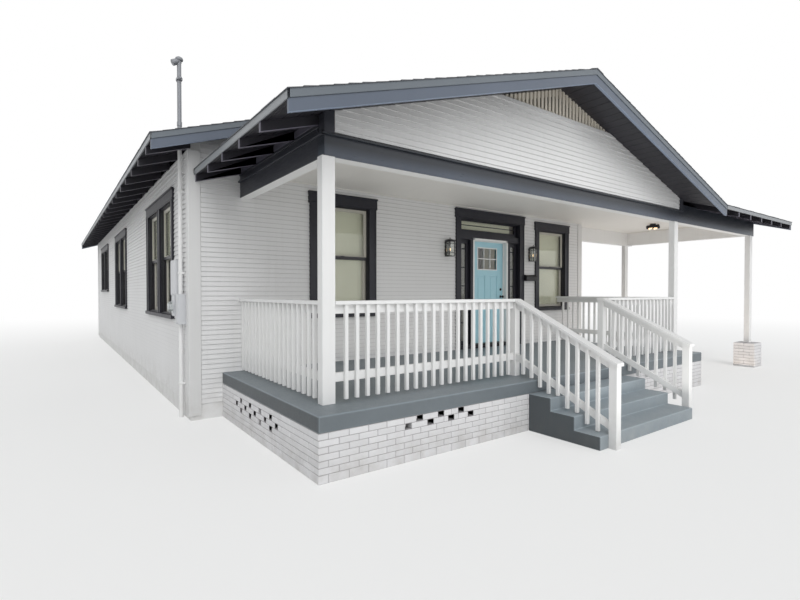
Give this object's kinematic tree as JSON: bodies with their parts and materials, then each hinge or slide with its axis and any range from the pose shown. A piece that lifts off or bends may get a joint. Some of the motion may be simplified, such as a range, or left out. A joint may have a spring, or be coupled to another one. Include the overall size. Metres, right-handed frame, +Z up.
{
  "type": "bungalow",
  "caption": "Single-storey gabled bungalow with a railed front porch, entrance steps, an opening front door and a side carport on brick piers.",
  "frame": {"origin": "on the ground under the middle of the front wall", "axes": "+X to the right seen from the street, +Y from the front wall to the rear, +Z up"},
  "size_m": [13.065, 19.518, 5.2258],
  "materials": {
    "white_paint": "satin white paint",
    "brick_paint": "white painted brick",
    "floor_paint": "gray painted concrete",
    "shingles": "dark gray asphalt shingle",
    "charcoal_paint": "satin charcoal paint",
    "slate_paint": "satin slate paint",
    "glass": "clear pane",
    "floor_boards": "sealed boards",
    "vent_paint": "flat weathered paint",
    "door_paint": "satin teal paint",
    "black_metal": "matt black",
    "box_metal": "painted steel"
  },
  "bodies": {
    "house": {"front_base": "white_paint", "front_wall_left": "white_paint", "front_wall_right": "white_paint", "front_gable": "white_paint", "left_wall": "white_paint", "right_wall": "white_paint", "rear_wall": "white_paint", "house_floor": "floor_boards", "house_ceiling": "white_paint", "corner_boards": "white_paint", "main_roof_left": "shingles", "main_roof_right": "shingles", "main_rafters_left": "charcoal_paint", "main_rafters_right": "charcoal_paint", "main_barge_boards": "slate_paint", "porch_slab": "floor_paint", "porch_skirt": "brick_paint", "front_steps": "floor_paint", "porch_posts": "white_paint", "carport_posts": "white_paint", "carport_piers": "brick_paint", "front_beam": "charcoal_paint", "left_beam": "charcoal_paint", "carport_side_beam": "charcoal_paint", "carport_rear_beam": "charcoal_paint", "porch_ceiling": "white_paint", "porch_gable": "white_paint", "gable_vent": "vent_paint", "porch_roof_left": "shingles", "porch_roof_right": "shingles", "porch_rafters": "charcoal_paint", "porch_barge_boards": "slate_paint", "carport_roof": "shingles", "carport_rafters": "charcoal_paint", "carport_gable": "white_paint", "railing_left": "white_paint", "railing_front_left": "white_paint", "railing_front_right": "white_paint", "railing_right": "white_paint", "stair_rail_left": "white_paint", "stair_rail_right": "white_paint", "window_frames": "charcoal_paint", "window_glass": "glass", "door_frame": "charcoal_paint", "door_hinges": "black_metal", "lanterns": "black_metal", "mailbox": "black_metal", "ceiling_light": "black_metal", "electric_service": "box_metal"},
    "door": {"front_door": "door_paint", "door_glass": "glass", "door_handle": "black_metal"}
  },
  "joints": [
    {"name": "front_door_hinge", "type": "hinge", "parent": "house", "child": "door", "pos_m": [0.849, 0.084, 0.686], "axis": [0, 0, 1], "range_deg": [0, 100]}
  ]
}
